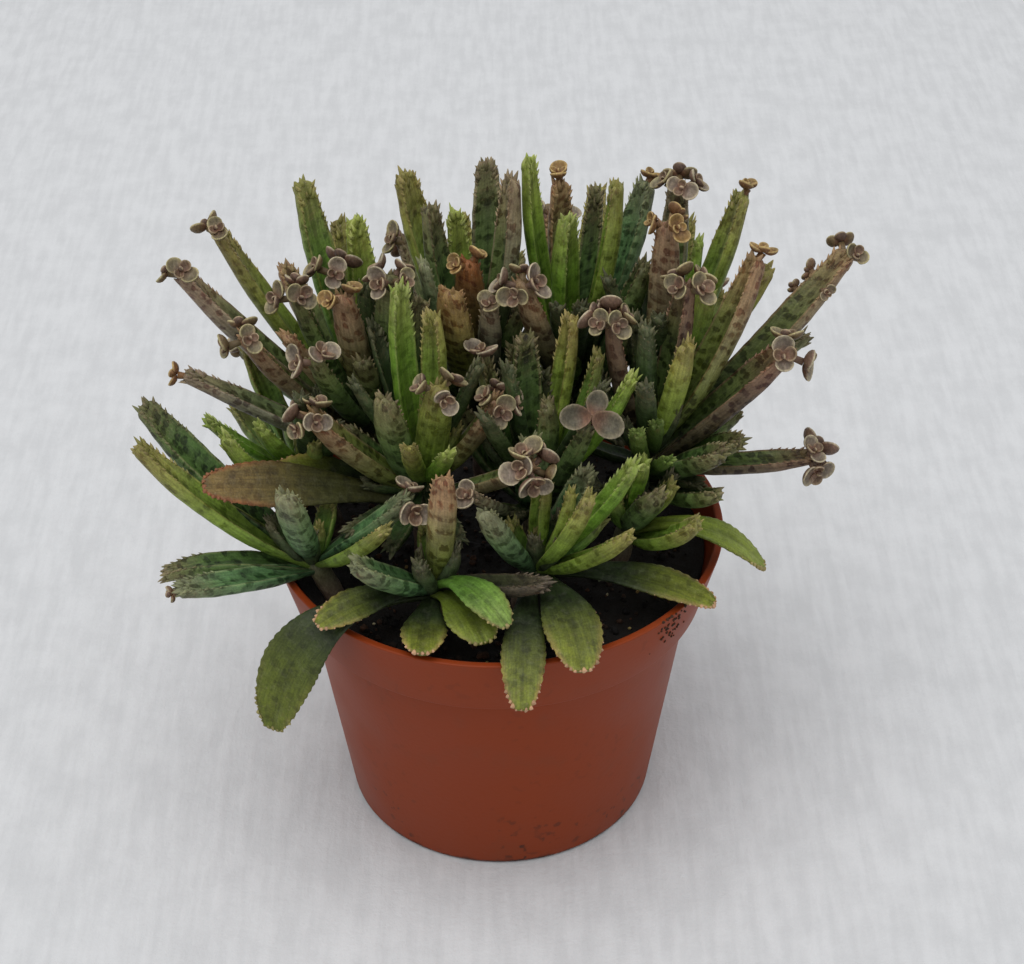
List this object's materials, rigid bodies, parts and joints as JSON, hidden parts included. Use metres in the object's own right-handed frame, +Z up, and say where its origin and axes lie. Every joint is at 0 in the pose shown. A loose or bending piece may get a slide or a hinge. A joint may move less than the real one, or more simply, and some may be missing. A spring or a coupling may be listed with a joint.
{
  "type": "potted chandelier plant",
  "caption": "Clump of small succulents with grooved, blotched finger leaves that carry plantlets at their toothed tips, in a stepped plastic nursery pot of soil.",
  "frame": {"origin": "centre of the flat underside of the pot, on the pot's axis", "axes": "+Z up along the pot's axis, +X to the right and -Y towards the viewer, as pictured"},
  "size_m": [0.1671, 0.1335, 0.1545],
  "materials": {
    "pot_plastic": "satin",
    "potting_soil": "matte",
    "leaf_green": "satin",
    "leaf_brown": "satin"
  },
  "bodies": {
    "root": {"pot": "pot_plastic", "soil": "potting_soil", "plant_front_left": "leaf_green", "plant_front_middle": "leaf_green", "plant_front_right": "leaf_green", "plant_right_front": "leaf_green", "plant_left": "leaf_green", "plant_centre_left": "leaf_brown", "plant_centre": "leaf_green", "plant_right": "leaf_brown", "plant_back_left": "leaf_brown", "plant_back_middle": "leaf_brown", "plant_back_right": "leaf_green", "plant_right_back": "leaf_brown"}
  },
  "joints": []
}
